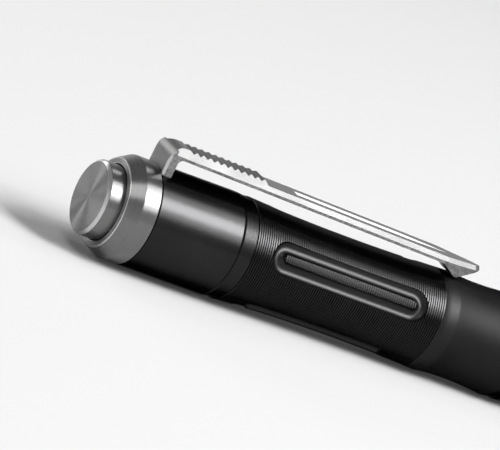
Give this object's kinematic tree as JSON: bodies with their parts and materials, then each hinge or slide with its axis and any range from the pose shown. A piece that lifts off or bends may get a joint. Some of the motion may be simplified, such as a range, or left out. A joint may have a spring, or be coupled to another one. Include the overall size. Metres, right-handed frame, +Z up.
{
  "type": "penlight",
  "caption": "Slim pocket torch on cylindrical cells: tail push switch, steel deep-carry clip, waisted grips with ribbed slots, screw-on tail cap and lens head.",
  "frame": {"origin": "on the surface it lies on, under the middle of its length, below the barrel's axis", "axes": "+X along the barrel towards the lens, +Z up towards the clip, +Y to the left when looking along +X"},
  "size_m": [0.131, 0.0144, 0.0177],
  "materials": {
    "black_anodising": "satin black anodised",
    "satin_steel": "satin brushed",
    "turned_steel": "fine turned",
    "spring_steel": "bright drawn",
    "black_rubber": "matt",
    "switch_plastic": "moulded",
    "plunger_plastic": "moulded",
    "circuit_board": "solder mask",
    "chip_package": "moulded",
    "coil_core": "ferrite",
    "capacitor_body": "ceramic",
    "machined_brass": "machined",
    "cell_can": "bright can",
    "cell_sleeve": "printed film",
    "red_insulation": "wire insulation",
    "black_insulation": "wire insulation",
    "white_board": "white solder mask",
    "led_phosphor": "phosphor under a clear dome",
    "white_plastic": "moulded",
    "mirror_coat": "mirror coated",
    "lens_glass": "coated glass",
    "cell_keeper": "machined"
  },
  "bodies": {
    "barrel_body": {"barrel": "black_anodising", "rear_cell_can": "cell_can", "rear_cell_sleeve": "cell_sleeve", "front_cell_can": "cell_can", "front_cell_sleeve": "cell_sleeve"},
    "tail_link": {"tail_seal": "black_rubber"},
    "tail_body": {"tail_cap": "black_anodising", "tail_ring": "turned_steel", "clip_root": "satin_steel", "button_boot": "black_rubber", "switch_housing": "switch_plastic", "switch_spring": "spring_steel", "switch_board": "circuit_board", "board_keeper": "cell_keeper", "cell_spring": "spring_steel"},
    "button_body": {"tail_button": "turned_steel", "switch_plunger": "plunger_plastic"},
    "clip_body": {"clip_arm": "satin_steel"},
    "head_link": {"head_seal": "black_rubber"},
    "head_body": {"head_shell": "black_anodising", "contact_post": "machined_brass", "driver_board": "circuit_board", "driver_chip": "chip_package", "driver_coil": "coil_core", "driver_capacitors": "capacitor_body", "heat_sink": "machined_brass", "positive_lead": "red_insulation", "negative_lead": "black_insulation", "led_board": "white_board", "led_emitter": "led_phosphor", "centring_ring": "white_plastic", "reflector": "mirror_coat", "lens": "lens_glass", "lens_seal": "black_rubber", "bezel_ring": "turned_steel"}
  },
  "joints": [
    {"name": "button_press", "type": "slide", "parent": "tail_body", "child": "button_body", "axis": [1, 0, 0], "range_m": [0, 0.0012], "stiffness_N_per_m": 1500, "springref_m": -0.001, "deforming": ["switch_spring", "button_boot"]},
    {"name": "clip_flex", "type": "hinge", "parent": "tail_body", "child": "clip_body", "pos_m": [-0.05615, 0, 0.01701], "axis": [0, -1, 0], "range_deg": [0, 4], "stiffness_Nm_per_rad": 4, "springref_deg": -1.15},
    {"name": "tail_cap_turn", "type": "hinge", "parent": "barrel_body", "child": "tail_link", "pos_m": [-0.0461, 0, 0.0072], "axis": [-1, 0, 0], "range_deg": [0, 1440]},
    {"name": "tail_cap_travel", "type": "slide", "parent": "tail_link", "child": "tail_body", "axis": [-1, 0, 0], "range_m": [0, 0.0026]},
    {"name": "head_turn", "type": "hinge", "parent": "barrel_body", "child": "head_link", "pos_m": [0.0381, 0, 0.0072], "axis": [1, 0, 0], "range_deg": [0, 1440]},
    {"name": "head_travel", "type": "slide", "parent": "head_link", "child": "head_body", "axis": [1, 0, 0], "range_m": [0, 0.0026]}
  ],
  "couplings": [
    {"joint": "tail_cap_turn", "follows": "tail_cap_travel", "rad_per_m": 9666.4},
    {"joint": "head_turn", "follows": "head_travel", "rad_per_m": 9666.4}
  ]
}
